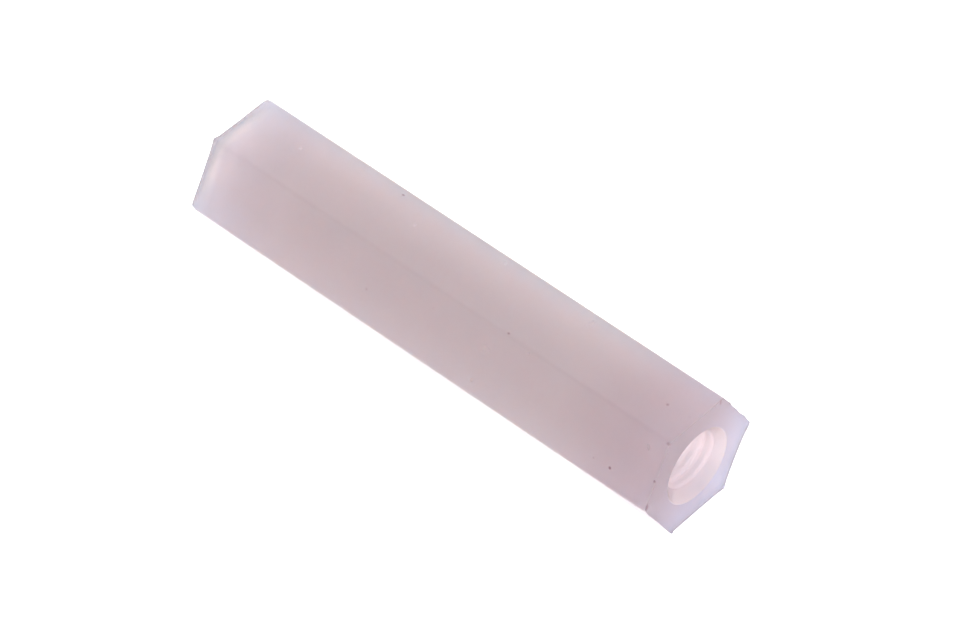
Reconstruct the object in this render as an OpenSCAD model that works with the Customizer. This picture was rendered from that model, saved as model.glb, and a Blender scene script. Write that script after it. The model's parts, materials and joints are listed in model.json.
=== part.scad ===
// Hexagonal female-female standoff: one moulded and tapped piece of hex bar.
// It lies on one flat: +X runs along the bore, +Z is up, and the origin is
// the centre of the flat that it rests on.

/* [Body] */
// Distance across the flats of the hexagon
across_flats = 5.5; // [5:0.1:10]
// Length from one end face to the other
body_len = 25; // [6:0.5:50]
// Radius of the six long edges
edge_r = 0.2; // [0.05:0.05:0.5]

/* [Thread] */
// Nominal diameter of the metric thread
thread_d = 3; // [2.5:0.5:3.5]
// Pitch of the metric thread
thread_pitch = 0.5; // [0.35:0.05:0.6]
// Diameter of each countersink where it meets the end face
mouth_d = 3.56; // [3.4:0.02:4.4]
// Included angle of each countersink
sink_angle = 90; // [60:5:120]

/* [Hidden] */
// A cut runs this far past the face it starts from
over = 0.5;
// Height of a basic metric thread's flanks, as a share of the pitch, twice over
flank_share = 1.0825;
minor_d = thread_d - flank_share * thread_pitch;
sink_slope = tan(sink_angle / 2);
sink_depth = (mouth_d - minor_d) / 2 / sink_slope;
// Distance from the axis to an edge's centre of rounding
edge_centre = (across_flats / 2 - edge_r) / cos(30);
round_fn = 96;

// Section of the bar: a hexagon standing on a flat, its six corners rounded.
// The polygon ends each flat where the rounding starts, and the circles fill the corners.
module hex_section() {
    tangents = [
        for (corner = [0 : 60 : 300], side = [-30, 30])
            edge_centre * [cos(corner), sin(corner)]
                + edge_r * [cos(corner + side), sin(corner + side)]
    ];
    union() {
        polygon(tangents);
        for (corner = [0 : 60 : 300])
            rotate(corner)
                translate([edge_centre, 0])
                    circle(r = edge_r, $fn = round_fn);
    }
}

// Countersink on the +Z end of the bar: a cone that runs out past the face
module countersink() {
    translate([0, 0, body_len / 2 - sink_depth])
        cylinder(
            h = sink_depth + over,
            d1 = minor_d,
            d2 = mouth_d + 2 * over * sink_slope,
            $fn = round_fn
        );
}

// The tapped bore at its minor diameter, with a countersink at each end
module tapped_bore() {
    cylinder(h = body_len + 2 * over, d = minor_d, center = true, $fn = round_fn);
    for (end = [0, 1])
        mirror([0, 0, end])
            countersink();
}

// The whole piece, laid on a flat with its bore along X
module hex_standoff() {
    color([0.80, 0.71, 0.72])
        translate([0, 0, across_flats / 2])
            rotate([90, 0, 90])
                difference() {
                    linear_extrude(height = body_len, center = true)
                        hex_section();
                    tapped_bore();
                }
}

hex_standoff();
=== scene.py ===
import json
import math

import bpy
import numpy as np
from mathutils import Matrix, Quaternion, Vector


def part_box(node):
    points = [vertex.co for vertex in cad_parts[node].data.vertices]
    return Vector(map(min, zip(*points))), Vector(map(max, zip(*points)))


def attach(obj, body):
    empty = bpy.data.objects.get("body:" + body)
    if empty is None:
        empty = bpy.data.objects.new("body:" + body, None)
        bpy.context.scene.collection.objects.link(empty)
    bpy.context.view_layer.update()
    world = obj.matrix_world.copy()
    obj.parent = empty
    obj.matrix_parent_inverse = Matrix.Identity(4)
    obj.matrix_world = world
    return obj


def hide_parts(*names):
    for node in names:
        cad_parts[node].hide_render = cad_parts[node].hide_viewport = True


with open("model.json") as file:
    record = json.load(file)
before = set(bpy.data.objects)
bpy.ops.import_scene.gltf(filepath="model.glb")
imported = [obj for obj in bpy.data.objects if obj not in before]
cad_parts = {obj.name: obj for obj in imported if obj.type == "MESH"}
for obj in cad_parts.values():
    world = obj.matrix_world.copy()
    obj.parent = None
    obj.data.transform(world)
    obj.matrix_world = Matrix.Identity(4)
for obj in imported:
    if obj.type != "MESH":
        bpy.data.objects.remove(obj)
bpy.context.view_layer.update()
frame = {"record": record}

mm = 0.001

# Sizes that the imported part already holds: the body's box, and the bore's radius and length
lowCorner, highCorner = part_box("hex_standoff")
boreMount = next(m for m in frame["record"]["mounts"] if m["kind"] == "threaded_hole")
halfLength = (highCorner.x - lowCorner.x) / 2
apothem = (highCorner.z - lowCorner.z) / 2
halfWidth = (highCorner.y - lowCorner.y) / 2
axisHeight = (highCorner.z + lowCorner.z) / 2
boreRadius = boreMount["dims"]["r_mm"] * mm
sinkDepth = halfLength - boreMount["dims"]["length_mm"] * mm / 2
sharpCorner = apothem / math.cos(math.radians(30))
edgeRadius = (sharpCorner - halfWidth) / (sharpCorner / apothem - 1)

standoff = {
    "endBreak": 0.015 * mm,       # rounding where the flats meet an end face
    "mouthRound": 0.03 * mm,      # rounding where the countersink meets an end face
    "sinkSlope": 1.0,             # the countersink widens this much for each unit of depth
    "threadPitch": 0.5 * mm,
    "threadRoot": 1.46 * mm,      # radius at the bottom of the thread's groove
    "crestWear": 0.10 * mm,       # how far the tops of the thread are worn down
    "crestFlat": 0.12,            # share of half a pitch that the crest takes
    "rootFlat": 0.3,              # and the root
    "columnsPerFlat": 14,
    "columnsPerEdge": 7,
    "breakRows": 6,
    "lipRows": 5,
    "fineDepth": 3 * mm,          # how deep into each mouth the thread is drawn finely
    "fineStep": 0.025 * mm,
    "coarseStep": 0.0714 * mm,
    "bodyRows": 34,
    "faceRows": 9,
    "sink": 0.012 * mm,           # how far the middle of each flat lies below its sides
    "wander": 0.005 * mm,         # how far the flats rise and fall along the bar
    "wanderLength": 7.3 * mm,
    "wanderShift": 2.4,           # how far out of step with the next flat, in radians
    "ragged": 0.35,               # how unevenly the ends were cut, as a share of the end break
    "raggedWaves": ((17, 1.0), (31, 2.2), (47, 0.0)),    # waves round the bar, and their phases
}

# Nubs of plastic that the cutter left standing, and nicks that it took out: the end each is on, its
# angle round the bar, how far it pushes the plastic along X, Y and Z in mm, and how wide it spreads
endMarks = [
    {"end": 1, "angle": 300, "push": (0.05, 0.09, 0.01), "spread": 0.10 * mm},
    {"end": 1, "angle": 240, "push": (0.08, 0.01, 0.00), "spread": 0.07 * mm},
    {"end": 1, "angle": 47, "push": (0.03, 0.03, 0.03), "spread": 0.11 * mm},
    {"end": 1, "angle": 30, "push": (0.02, 0.03, 0.02), "spread": 0.15 * mm},
    {"end": 1, "angle": 12, "push": (0.03, 0.04, 0.01), "spread": 0.15 * mm},
    {"end": 1, "angle": 0, "push": (0.03, 0.02, -0.07), "spread": 0.50 * mm},
    {"end": 1, "angle": 299, "push": (0.01, 0.01, 0.00), "spread": 0.50 * mm},
    {"end": 1, "angle": 180, "push": (0.03, 0.05, 0.00), "spread": 0.30 * mm},
    {"end": -1, "angle": 119, "push": (-0.03, -0.02, 0.04), "spread": 0.15 * mm},
    {"end": -1, "angle": 124, "push": (0.00, -0.02, 0.03), "spread": 0.10 * mm},
    {"end": -1, "angle": 181, "push": (0.03, 0.03, 0.01), "spread": 0.12 * mm},
    {"end": -1, "angle": 60, "push": (0.03, -0.01, -0.03), "spread": 0.12 * mm},
]


# Angles round the bore, closely spaced over each long edge's rounding and evenly over the flats
def ringAngles(form):
    halfArc = math.atan2(edgeRadius / 2, edgeCentre() + edgeRadius * math.cos(math.radians(30)))
    edge = np.linspace(-halfArc, halfArc, form["columnsPerEdge"])
    flat = np.linspace(halfArc, math.radians(60) - halfArc, form["columnsPerFlat"] + 2)[1:-1]
    sixth = np.concatenate([edge, flat])
    return (sixth[None, :] + np.radians(np.arange(0, 360, 60))[:, None]).ravel()


# Distance from the axis to the centre of a long edge's rounding
def edgeCentre():
    return (apothem - edgeRadius) / math.cos(math.radians(30))


# Radius of the hexagon drawn in by inset: on a flat, the flat's distance over the cosine of the
# angle from its middle; on an edge, the far crossing of the ray with the edge's own circle
def hexRadius(angle, inset):
    fromEdge = (angle + math.radians(30)) % math.radians(60) - math.radians(30)
    fromFlat = math.radians(30) - np.abs(fromEdge)
    onFlat = (apothem - inset) / np.cos(fromFlat)
    centre = edgeCentre()
    across = np.clip((edgeRadius - inset) ** 2 - (centre * np.sin(fromEdge)) ** 2, 0, None)
    onEdge = centre * np.cos(fromEdge) + np.sqrt(across)
    halfArc = math.atan2(edgeRadius / 2, centre + edgeRadius * math.cos(math.radians(30)))
    return np.where(np.abs(fromEdge) <= halfArc, np.minimum(onEdge, onFlat), onFlat)


# Radius of the tapped bore: the larger of the thread, whose groove follows x / pitch less one
# turn for each turn of the angle, and the countersink, which widens towards the nearer end
def boreWall(x, angle, form):
    turn = (x / form["threadPitch"] - angle / (2 * math.pi)) % 1
    groove = np.abs(2 * turn - 1)
    rise = (groove - form["crestFlat"]) / (1 - form["crestFlat"] - form["rootFlat"])
    rise = np.clip(rise, 0, 1)
    rise = rise * rise * (3 - 2 * rise)
    crest = boreRadius + form["crestWear"]
    threadRadius = crest + (form["threadRoot"] - crest) * rise
    coneRadius = boreRadius + (sinkDepth - (halfLength - np.abs(x))) * form["sinkSlope"]
    return np.maximum(threadRadius, coneRadius)


# How far the outside lies off the true hexagon: the flats sink by the squared cosine of the way
# to their sides, and a sine along the bar, out of step from flat to flat, raises and lowers them
def flatPush(x, angle, form):
    acrossFlat = np.cos(3 * (angle - math.radians(30))) ** 2
    phase = form["wanderShift"] * np.floor(angle / math.radians(60))
    wave = np.sin(2 * math.pi * x / form["wanderLength"] + phase)
    return acrossFlat * (form["wander"] * (wave - 1) - form["sink"])


# Share by which the end break is larger or smaller round the bar: 1 plus the raggedness times
# the mean of some sines of the angle
def raggedShare(angle, form):
    waves = [np.sin(count * angle + phase) for count, phase in form["raggedWaves"]]
    return 1 + form["ragged"] * sum(waves) / len(waves)


# Pushes points near each mark: the mark's push times a bell of the distance to its corner or edge
def markEnds(grid, marks):
    for mark in marks:
        turn = math.radians(mark["angle"])
        radius = float(hexRadius(np.array(turn), 0.0))
        around = np.array([0, math.cos(turn), math.sin(turn)])
        centre = radius * around + np.array([mark["end"] * halfLength, 0, axisHeight])
        push = np.array(mark["push"]) * mm
        bell = np.exp(-((grid - centre) ** 2).sum(axis=-1) / mark["spread"] ** 2)
        grid = grid + bell[..., None] * push
    return grid


# One half of the closed line that is carried round the axis, from the middle of the outside over
# the end and back to the middle of the bore. Each row has its x, its inset of the hexagon,
# the radius of the ring it blends to, and the share of that ring: 0 outside and 1 in the bore.
def halfProfile(form):
    rows = []
    tip = halfLength - form["endBreak"]
    body = tip * np.sin(np.linspace(0, math.pi / 2, form["bodyRows"] + 1))[:-1]
    rows.append(np.stack([body, body * 0, body * 0, body * 0]))
    turn = np.linspace(0, math.pi / 2, form["breakRows"])
    inset = form["endBreak"] * (1 - np.cos(turn))
    rows.append(np.stack([tip + form["endBreak"] * np.sin(turn), inset, inset * 0, inset * 0]))
    mouth = boreRadius + sinkDepth * form["sinkSlope"]
    rim = mouth + form["mouthRound"] * math.tan(math.radians(22.5))
    share = np.linspace(0, 1, form["faceRows"] + 1)[1:-1]
    flat = np.full_like(share, halfLength)
    rows.append(np.stack([flat, flat * 0 + form["endBreak"], flat * 0 + rim, share]))
    turn = np.linspace(0, math.pi / 4, form["lipRows"])
    lip = halfLength - form["mouthRound"] * (1 - np.cos(turn))
    ring = rim - form["mouthRound"] * np.sin(turn)
    rows.append(np.stack([lip, lip * 0, ring, lip * 0 + 1]))
    fineEnd = halfLength - form["fineDepth"]
    fine = np.arange(lip[-1] - form["fineStep"], fineEnd, -form["fineStep"])
    steps = round(fine[-1] / form["coarseStep"])
    coarse = np.linspace(fine[-1], 0, steps + 1)[1:]
    wall = np.concatenate([fine, coarse])
    rows.append(np.stack([wall, wall * 0, wall * 0 - 1, wall * 0 + 1]))
    return np.concatenate(rows, axis=1)


# The whole closed line: one half, then the other half mirrored and run back
def wholeProfile(form):
    half = halfProfile(form)
    other = half[:, -2:0:-1].copy()
    other[0] *= -1
    return np.concatenate([half, other], axis=1)


# Positions of the grid: each row's line carried round the axis, radius (1 - share) of the
# hexagon plus share of the ring, where a ring of -1 stands for the bore's own wall. The flats'
# push and the ends' marks are added last.
def standoffGrid(form):
    x, inset, ring, share = [row[:, None] for row in wholeProfile(form)]
    angle = ringAngles(form)[None, :]
    inner = np.where(ring < 0, boreWall(x, angle, form), ring)
    outer = hexRadius(angle, inset * raggedShare(angle, form)) + flatPush(x, angle, form)
    radius = (1 - share) * outer + share * inner
    grid = np.stack([
        x + 0 * angle,
        radius * np.cos(angle),
        axisHeight + radius * np.sin(angle),
    ], axis=-1)
    return markEnds(grid, endMarks)


# A mesh from a grid that closes on itself both ways: a quad joins each point to the next row
# and the next column, and each normal is the area-weighted mean of the four quads round it
def closedMesh(name, grid):
    rows, columns = grid.shape[:2]
    index = np.arange(rows * columns).reshape(rows, columns)
    down = np.roll(index, -1, axis=0)
    quads = np.stack([
        index,
        np.roll(index, -1, axis=1),
        np.roll(down, -1, axis=1),
        down,
    ], axis=-1).reshape(-1, 4)
    corner = [grid.reshape(-1, 3)[quads[:, k]] for k in range(4)]
    crossed = np.cross(corner[2] - corner[0], corner[3] - corner[1])
    volume = np.einsum("ij,ij->i", crossed, sum(corner) / 4).sum() / 6
    if volume < 0:
        quads = quads[:, ::-1]
        crossed = -crossed
    crossed = crossed.reshape(rows, columns, 3)
    normal = crossed + np.roll(crossed, 1, axis=0)
    normal = normal + np.roll(normal, 1, axis=1)
    normal = normal / np.linalg.norm(normal, axis=-1, keepdims=True)
    mesh = bpy.data.meshes.new(name)
    mesh.vertices.add(rows * columns)
    mesh.vertices.foreach_set("co", grid.astype(np.float32).ravel())
    mesh.loops.add(quads.size)
    mesh.loops.foreach_set("vertex_index", quads.astype(np.int32).ravel())
    mesh.polygons.add(len(quads))
    mesh.polygons.foreach_set("loop_start", np.arange(0, quads.size, 4, dtype=np.int32))
    mesh.polygons.foreach_set("use_smooth", np.ones(len(quads), dtype=bool))
    mesh.update(calc_edges=True)
    mesh.validate()
    mesh.normals_split_custom_set_from_vertices(normal.reshape(-1, 3).tolist())
    made = bpy.data.objects.new(name, mesh)
    bpy.context.scene.collection.objects.link(made)
    print(name, "faces", len(quads), "volume mm3", round(abs(volume) * 1e9, 2))
    return made


# One output of a material's nodes. A sum on it adds Math nodes, so a formula reads as a formula.
class Value:
    def __init__(self, bench, socket):
        self.bench = bench
        self.socket = socket

    def maths(self, operation, *others):
        inputs = dict(enumerate((self, *others)))
        return self.bench.node("ShaderNodeMath", {"operation": operation}, inputs)

    def __add__(self, other):
        return self.maths("ADD", other)

    def __radd__(self, other):
        return self.maths("ADD", other)

    def __sub__(self, other):
        return self.maths("SUBTRACT", other)

    def __rsub__(self, other):
        return self.bench.node("ShaderNodeMath", {"operation": "SUBTRACT"}, {0: other, 1: self})

    def __mul__(self, other):
        return self.maths("MULTIPLY", other)

    def __rmul__(self, other):
        return self.maths("MULTIPLY", other)

    def __pow__(self, other):
        return self.maths("POWER", other)


# A material or a sky being made, and the one method that adds any node to it
class Bench:
    def __init__(self, name, tree=None):
        if tree is None:
            self.material = bpy.data.materials.new(name)
            self.material.use_nodes = True
            tree = self.material.node_tree
        self.nodes = tree.nodes
        self.links = tree.links
        self.nodes.clear()

    def node(self, kind, settings=None, inputs=None, output=0):
        made = self.nodes.new(kind)
        for key, value in (settings or {}).items():
            setattr(made, key, value)
        for key, value in (inputs or {}).items():
            if isinstance(value, Value):
                self.links.new(value.socket, made.inputs[key])
            else:
                made.inputs[key].default_value = value
        return Value(self, made.outputs[output]) if made.outputs else None


nylon = {
    "flatWarmPaintedShade": (0.951, 0.934, 0.964, 1),      # the nylon's tint with painted shade: flats on the warm side, up and to the front
    "flatCoolPaintedLight": (0.974, 0.939, 0.989, 1),      # the nylon's tint with painted light: flats on the other sides
    "nearPaintedShade": (0.84, 0.768, 0.815, 1),      # painted shade: times this towards the +X end
    "farPaintedShade": (0.746, 0.749, 0.813, 1),      # painted shade: times this towards the -X end
    "farRimPaintedLight": (1.00, 0.99, 1.00, 1),           # painted light: the last part of the -X end, and its face
    "cornerRimPaintedShade": (0.87, 0.87, 1.00, 1),        # painted shade: the same, away from the warm side
    "farLipPaintedShade": (0.93, 0.92, 1.00, 1),           # painted lavender shade: its last sliver
    "breakPaintedLight": (1.00, 0.98, 0.98, 1),        # painted light: rounding between the flats and the +X face
    "edgeCoolPaintedLight": (0.885, 0.935, 1.00, 1),       # painted light: long edges on the cool side
    "faceWarmPaintedShade": (0.459, 0.311, 0.411, 1),      # painted shade: the +X end face, on the warm side
    "faceCoolPaintedLight": (0.657, 0.653, 0.938, 1),      # painted light: and on the cool side
    "boreWarmPaintedShade": (0.71, 0.56, 0.585, 1),        # painted shade: wall of the bore, on the warm side
    "boreCoolPaintedLight": (0.95, 0.91, 0.95, 1),         # painted light: and on the cool side
    "warmTurn": 120,                           # where the warm side with its painted shade lies, in degrees from +Y to +Z
    "flatChange": (1.5 * mm, 2.5 * mm),        # distance this way over which the flats turn warm and take their painted shade
    "faceChange": (-2.4 * mm, 2.2 * mm),       # the same for the painted light and shade of the +X face
    "boreChange": (-1.6 * mm, 0.6 * mm),       # for the bore's painted light and shade
    "cornerChange": (1.6 * mm, 2.3 * mm),      # and for the painted light and shade on the rim of the -X end
    "edgeChange": (2.8 * mm, 3.12 * mm),       # distance from the axis over which the edges' painted light begins
    "coolSide": (0, 1 * mm),                   # y over which the cool side's edges begin
    "nearChange": (6 * mm, 12 * mm),           # x over which the painted shade darkens the +X end
    "farChange": (0.6 * mm, 5 * mm),           # distance from the -X end over which its painted shade clears
    "rimChange": (0.3 * mm, 0.9 * mm),         # over which its rim's painted light ends
    "lipChange": (0.08 * mm, 0.30 * mm),       # and over which its lip's painted shade ends
    "breakChange": (0.03 * mm, 0.012 * mm),    # distance from the +X end, to its rounding with its painted light
    "endFaceChange": (0.006 * mm, 0.002 * mm),    # and to its face
    "boreOut": 0.1 * mm,                       # the bore's painted light and shade ends this far past its mouth
    "boreIn": 0.03 * mm,                       # and begins over this depth
    "haze": 3281,                              # light is scattered this often for each metre
    "hazeColour": (0.750, 0.904, 1.000, 1),    # and each colour by this share of it
    "forward": 0.865,                          # how much of the scattered light keeps its direction
    "stain": 56.9,                             # how strongly light is absorbed for each metre
    "stainColour": (0.600, 0.200, 0.375, 1),   # what is let through
    "ior": 1.53,                               # how strongly the plastic bends light
    "roughness": 0.250,                        # of the skin
    "roughSpread": 0.10,                       # the roughness varies by this much over the skin
    "cloud": 0.05,                             # and the tint by this share of itself
    "cloudSize": 1.6 * mm,                     # of the tint's clouds
    "roughSize": 0.8 * mm,                     # and of the roughness's
    "streakSize": (2.5 * mm, 0.16 * mm, 0.16 * mm),    # drawing lines along the bar
    "streakDetail": 3.0,
    "streakDepth": 0.0012 * mm,
    # colour of the dirt specks and of the painted shade
    "speckAndPaintedShadeColour": (0.30, 0.13, 0.20, 1),
    "spotCore": 0.35,                         # share of the reach of a speck, and of the painted shade, that is fully dark
}

# Dirt and dark nicks in the skin, and last a faint painted shade over the +X end: where each is, how
# far it reaches along X, Y and Z, in mm, and how dark it is
specksAndPaintedShade = [
    {"place": (3.84, -1.50, 5.49), "reach": (0.10, 0.07, 0.08), "dark": 0.40},
    {"place": (-4.50, 1.26, 5.49), "reach": (0.11, 0.07, 0.08), "dark": 0.45},
    {"place": (11.08, -0.15, 5.49), "reach": (0.10, 0.09, 0.08), "dark": 0.38},
    {"place": (12.16, -0.08, 5.49), "reach": (0.06, 0.06, 0.08), "dark": 0.15},
    {"place": (10.30, -1.62, 5.49), "reach": (0.07, 0.06, 0.08), "dark": 0.15},
    {"place": (10.36, -2.79, 3.415), "reach": (0.09, 0.08, 0.09), "dark": 0.85},
    {"place": (-3.10, -2.50, 3.917), "reach": (0.08, 0.06, 0.08), "dark": 0.25},
    {"place": (0.16, -2.02, 4.749), "reach": (0.08, 0.06, 0.08), "dark": 0.15},
    {"place": (12.50, 1.40, 5.37), "reach": (0.05, 0.08, 0.20), "dark": 1.00},
    {"place": (12.46, -1.60, 5.40), "reach": (0.18, 0.10, 0.09), "dark": 0.60},
    {"place": (12.45, -2.48, 3.93), "reach": (0.08, 0.07, 0.09), "dark": 0.70},
    {"place": (12.53, -3.03, 2.90), "reach": (0.07, 0.16, 0.24), "dark": 0.95},
    # painted shade, not dirt: a faint broad darkening at the +X end
    {"place": (12.45, -2.40, 4.10), "reach": (0.05, 1.00, 1.60), "dark": 0.10},
]


# 0 below the low edge, 1 above the high edge, and the smooth cubic between them
def smoothStep(value, low, high):
    return value.bench.node("ShaderNodeMapRange", {"interpolation_type": "SMOOTHSTEP"}, {
        "Value": value,
        "From Min": low,
        "From Max": high,
    })


# The first colour where the share is 0, the second where it is 1, or the first times the second
def mixColour(bench, label, share, first, second, blend="MIX"):
    settings = {"data_type": "RGBA", "blend_type": blend, "label": label}
    return bench.node("ShaderNodeMix", settings, {0: share, 6: first, 7: second}, output=2)


# How dark the specks and the one painted shade make a place: the sum of each one's darkness times a
# share that is 1 in its core and falls to 0 at its reach, and 1 at most
def speckAndPaintedShadeShare(place, spots, core):
    bench = place.bench
    total = 0.0
    for spot in spots:
        middle = tuple(v * mm for v in spot["place"])
        reach = tuple(v * mm for v in spot["reach"])
        away = bench.node("ShaderNodeVectorMath", {"operation": "SUBTRACT"}, {0: place, 1: middle})
        scaled = bench.node("ShaderNodeVectorMath", {"operation": "DIVIDE"}, {0: away, 1: reach})
        length = bench.node("ShaderNodeVectorMath", {"operation": "LENGTH"}, {0: scaled}, output=1)
        total = total + (1 - smoothStep(length, core, 1.0)) * spot["dark"]
    return total.maths("MINIMUM", 1.0)


# Noise from 0 to 1 whose lumps have this size along X, Y and Z
def lumps(place, size, detail=2.0):
    bench = place.bench
    scaled = bench.node("ShaderNodeVectorMath", {"operation": "DIVIDE"}, {0: place, 1: size})
    inputs = {"Vector": scaled, "Scale": 1.0, "Detail": detail}
    return bench.node("ShaderNodeTexNoise", None, inputs)


# The bar's tint with painted light and shade: warm with painted shade on one side and cool with
# painted light on the other, painted shade towards each end, painted light on the -X rim, the cool
# side's edges and the +X rounding, the end faces and the bore in their own painted light and shade,
# then clouds, specks and one painted shade over all of it
def nylonTintWithPaintedLight(place, look):
    bench = place.bench
    x = bench.node("ShaderNodeSeparateXYZ", None, {0: place}, output=0)
    y = bench.node("ShaderNodeSeparateXYZ", None, {0: place}, output=1)
    z = bench.node("ShaderNodeSeparateXYZ", None, {0: place}, output=2) - axisHeight
    turn = math.radians(look["warmTurn"])
    towardsWarm = y * math.cos(turn) + z * math.sin(turn)
    fromFar = x + halfLength
    fromAxis = (y ** 2 + z ** 2) ** 0.5
    mouth = boreRadius + sinkDepth * standoff["sinkSlope"]
    # painted shade on the warm side's flats, painted light on the other flats
    warmFlat = smoothStep(towardsWarm, *look["flatChange"])
    tint = mixColour(bench, "flat", warmFlat, look["flatCoolPaintedLight"], look["flatWarmPaintedShade"])
    # painted light along the long edges on the cool side
    coolEdge = smoothStep(fromAxis, *look["edgeChange"]) * smoothStep(y, *look["coolSide"])
    tint = mixColour(bench, "edge", coolEdge, tint, look["edgeCoolPaintedLight"])
    # painted shade towards each end
    nearZone = smoothStep(x, *look["nearChange"])
    tint = mixColour(bench, "near", nearZone, tint, look["nearPaintedShade"], "MULTIPLY")
    farZone = 1 - smoothStep(fromFar, *look["farChange"])
    tint = mixColour(bench, "far", farZone, tint, look["farPaintedShade"], "MULTIPLY")
    # painted light on the -X rim, with painted shade at its corners away from the warm side
    rimZone = 1 - smoothStep(fromFar, *look["rimChange"])
    warmRim = smoothStep(towardsWarm, *look["cornerChange"])
    rimPaintedLightAndShade = mixColour(bench, "corner", warmRim, look["cornerRimPaintedShade"], look["farRimPaintedLight"])
    tint = mixColour(bench, "rim", rimZone, tint, rimPaintedLightAndShade)
    # painted lavender shade on the last sliver of the -X end
    lipZone = 1 - smoothStep(fromFar, *look["lipChange"])
    tint = mixColour(bench, "lip", lipZone, tint, look["farLipPaintedShade"])
    # painted shade on the warm side of the +X face, painted light on its cool side
    warmFace = smoothStep(towardsWarm, *look["faceChange"])
    facePaintedLightAndShade = mixColour(bench, "face", warmFace, look["faceCoolPaintedLight"], look["faceWarmPaintedShade"])
    # painted light on the rounding between the flats and the +X face
    onBreak = smoothStep(x, *[halfLength - v for v in look["breakChange"]])
    tint = mixColour(bench, "break", onBreak, tint, look["breakPaintedLight"])
    onFace = smoothStep(x, *[halfLength - v for v in look["endFaceChange"]])
    tint = mixColour(bench, "end", onFace, tint, facePaintedLightAndShade)
    # painted shade in the bore on the warm side, painted light on the cool side
    fromEnd = halfLength - x.maths("ABSOLUTE")
    inMouth = 1 - smoothStep(fromAxis, mouth, mouth + look["boreOut"])
    inBore = inMouth * smoothStep(fromEnd, 0, look["boreIn"])
    warmBore = smoothStep(towardsWarm, *look["boreChange"])
    borePaintedLightAndShade = mixColour(bench, "boreSide", warmBore, look["boreCoolPaintedLight"], look["boreWarmPaintedShade"])
    tint = mixColour(bench, "bore", inBore, tint, borePaintedLightAndShade)
    size = look["cloudSize"]
    cloud = 1 - look["cloud"] * lumps(place, (size, size, size))
    tint = mixColour(bench, "cloud", 1.0, tint, cloud, "MULTIPLY")
    # dirt specks and one painted shade
    dirtAndPaintedShade = speckAndPaintedShadeShare(place, specksAndPaintedShade, look["spotCore"])
    return mixColour(bench, "speck", dirtAndPaintedShade, tint, look["speckAndPaintedShadeColour"])


# Clear nylon with a rough skin. Its tint, which holds painted light and shade besides the nylon's own
# colour, colours the light at each crossing of the skin, its roughness is the mean plus the spread
# times noise less a half, its bump is noise drawn out along the bar, and inside it the haze scatters
# light and the stain absorbs it.
def nylonMaterial(look):
    bench = Bench("naturalNylon")
    place = bench.node("ShaderNodeTexCoord", output=3)
    size = look["roughSize"]
    roughness = look["roughness"] + look["roughSpread"] * (lumps(place, (size, size, size)) - 0.5)
    streaks = bench.node("ShaderNodeBump", None, {
        "Strength": 1.0,
        "Distance": look["streakDepth"],
        "Height": lumps(place, look["streakSize"], look["streakDetail"]),
    })
    skin = bench.node("ShaderNodeBsdfPrincipled", None, {
        "Base Color": nylonTintWithPaintedLight(place, look),
        "Roughness": roughness,
        "Normal": streaks,
        "IOR": look["ior"],
        "Transmission Weight": 1.0,
    })
    haze = bench.node("ShaderNodeVolumeScatter", None, {
        "Color": look["hazeColour"],
        "Density": look["haze"],
        "Anisotropy": look["forward"],
    })
    stain = bench.node("ShaderNodeVolumeAbsorption", None, {
        "Color": look["stainColour"],
        "Density": look["stain"],
    })
    inside = bench.node("ShaderNodeAddShader", None, {0: haze, 1: stain})
    bench.node("ShaderNodeOutputMaterial", None, {"Surface": skin, "Volume": inside})
    print("material", bench.material.name, "nodes", len(bench.nodes))
    return bench.material


stage = {
    "floorReach": 1.5,
    "floorDrop": 0.02 * mm,                # gap that keeps the bar's lowest flat off the floor
    "floorGlow": 1.271,
    "floorColour": (0.8, 0.8, 0.8, 1),
    "floorRoughness": 0.9,
    "skyLevel": 1.434,
    "skyLean": (-0.624, 0.723, -0.473),    # brighter this way: a large soft light stands behind
    "hazeBounces": 32,                     # how often light is followed inside the haze
    "allBounces": 40,                      # and in all
}


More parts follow.
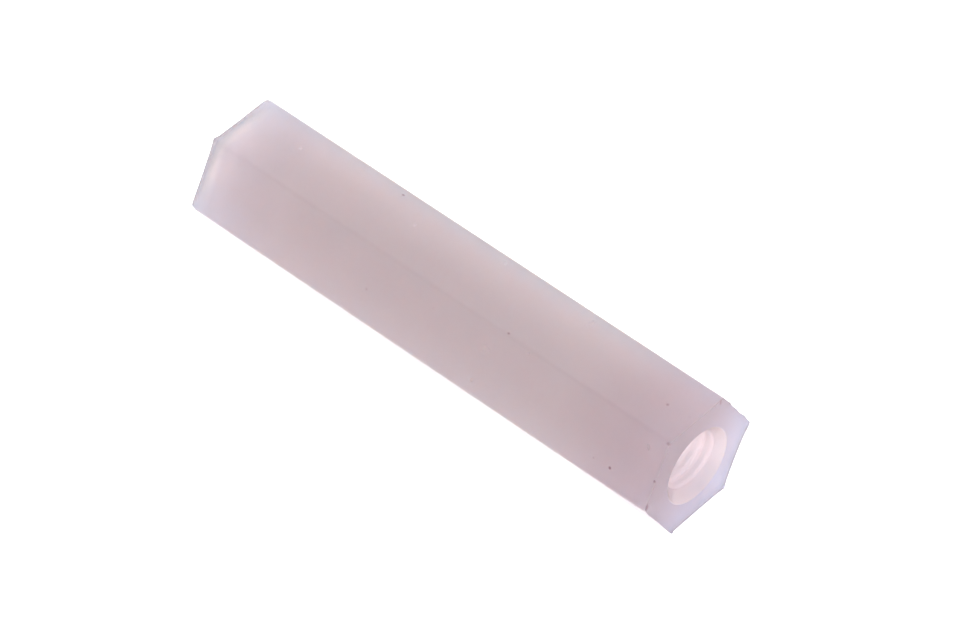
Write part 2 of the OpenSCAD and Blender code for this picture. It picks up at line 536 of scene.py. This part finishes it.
# A pale floor that gives off light of its own, and a sky whose strength is its level plus the
# direction's share along the lean, never below 0
def makeStage(look):
    reach = look["floorReach"]
    mesh = bpy.data.meshes.new("benchTop")
    top = lowCorner.z - look["floorDrop"]
    corners = [(-reach, -reach, top), (reach, -reach, top), (reach, reach, top), (-reach, reach, top)]
    mesh.from_pydata(corners, [], [(0, 1, 2, 3)])
    floor = bpy.data.objects.new("benchTop", mesh)
    bpy.context.scene.collection.objects.link(floor)
    bench = Bench("whiteBench")
    paper = bench.node("ShaderNodeBsdfPrincipled", None, {
        "Base Color": look["floorColour"],
        "Roughness": look["floorRoughness"],
        "Specular IOR Level": 0.0,
        "Emission Color": (1, 1, 1, 1),
        "Emission Strength": look["floorGlow"],
    })
    bench.node("ShaderNodeOutputMaterial", None, {"Surface": paper})
    bench.material.cycles.emission_sampling = "NONE"    # rays aimed at it can't pass the nylon
    mesh.materials.append(bench.material)
    world = bpy.data.worlds.new("studio")
    world.use_nodes = True
    sky = Bench("studio", world.node_tree)
    towards = sky.node("ShaderNodeTexCoord")
    leaning = sky.node("ShaderNodeVectorMath", {"operation": "DOT_PRODUCT"}, {
        0: towards,
        1: look["skyLean"],
    }, output=1)
    strength = (leaning + look["skyLevel"]).maths("MAXIMUM", 0.0)
    shine = sky.node("ShaderNodeBackground", None, {"Color": (1, 1, 1, 1), "Strength": strength})
    sky.node("ShaderNodeOutputWorld", None, {"Surface": shine})
    world.cycles.sampling_method = "NONE"    # nor can rays aimed at the sky
    bpy.context.scene.world = world
    bpy.context.scene.view_settings.view_transform = "Standard"
    bpy.context.scene.cycles.volume_bounces = look["hazeBounces"]
    bpy.context.scene.cycles.max_bounces = look["allBounces"]
    print("floor at", round(top, 6), "m, sky level", look["skyLevel"])


camera = {
    "azimuth": 44.2676,           # degrees round from the front, towards +X
    "elevation": 47.6507,
    "roll": -2.153,
    "distance": 0.24965,
    "aim": (0.7466 * mm, 0.0643 * mm, 2.75 * mm),
    "lens": 231.33,
    "sensor": 36,
    "clip": (0.01, 20),
}


# A camera on a sphere round the aim: back is the unit vector of its azimuth and elevation, its
# place is the aim plus back times the distance, and it is rolled about back
def makeCamera(view):
    a = math.radians(view["azimuth"])
    e = math.radians(view["elevation"])
    back = Vector((math.sin(a) * math.cos(e), -math.cos(a) * math.cos(e), math.sin(e)))
    data = bpy.data.cameras.new("camera")
    data.lens = view["lens"]
    data.sensor_width = view["sensor"]
    data.clip_start, data.clip_end = view["clip"]
    made = bpy.data.objects.new("camera", data)
    bpy.context.scene.collection.objects.link(made)
    made.location = Vector(view["aim"]) + back * view["distance"]
    made.rotation_mode = "QUATERNION"
    turned = Quaternion(back, math.radians(view["roll"]))
    made.rotation_quaternion = turned @ (-back).to_track_quat("-Z", "Y")
    bpy.context.scene.camera = made
    print("camera", view["azimuth"], "degrees round and", view["elevation"], "degrees up")


makeCamera(camera)
makeStage(stage)
piece = closedMesh("nylonStandoff", standoffGrid(standoff))
piece.data.materials.append(nylonMaterial(nylon))
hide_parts("hex_standoff")
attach(piece, "root")
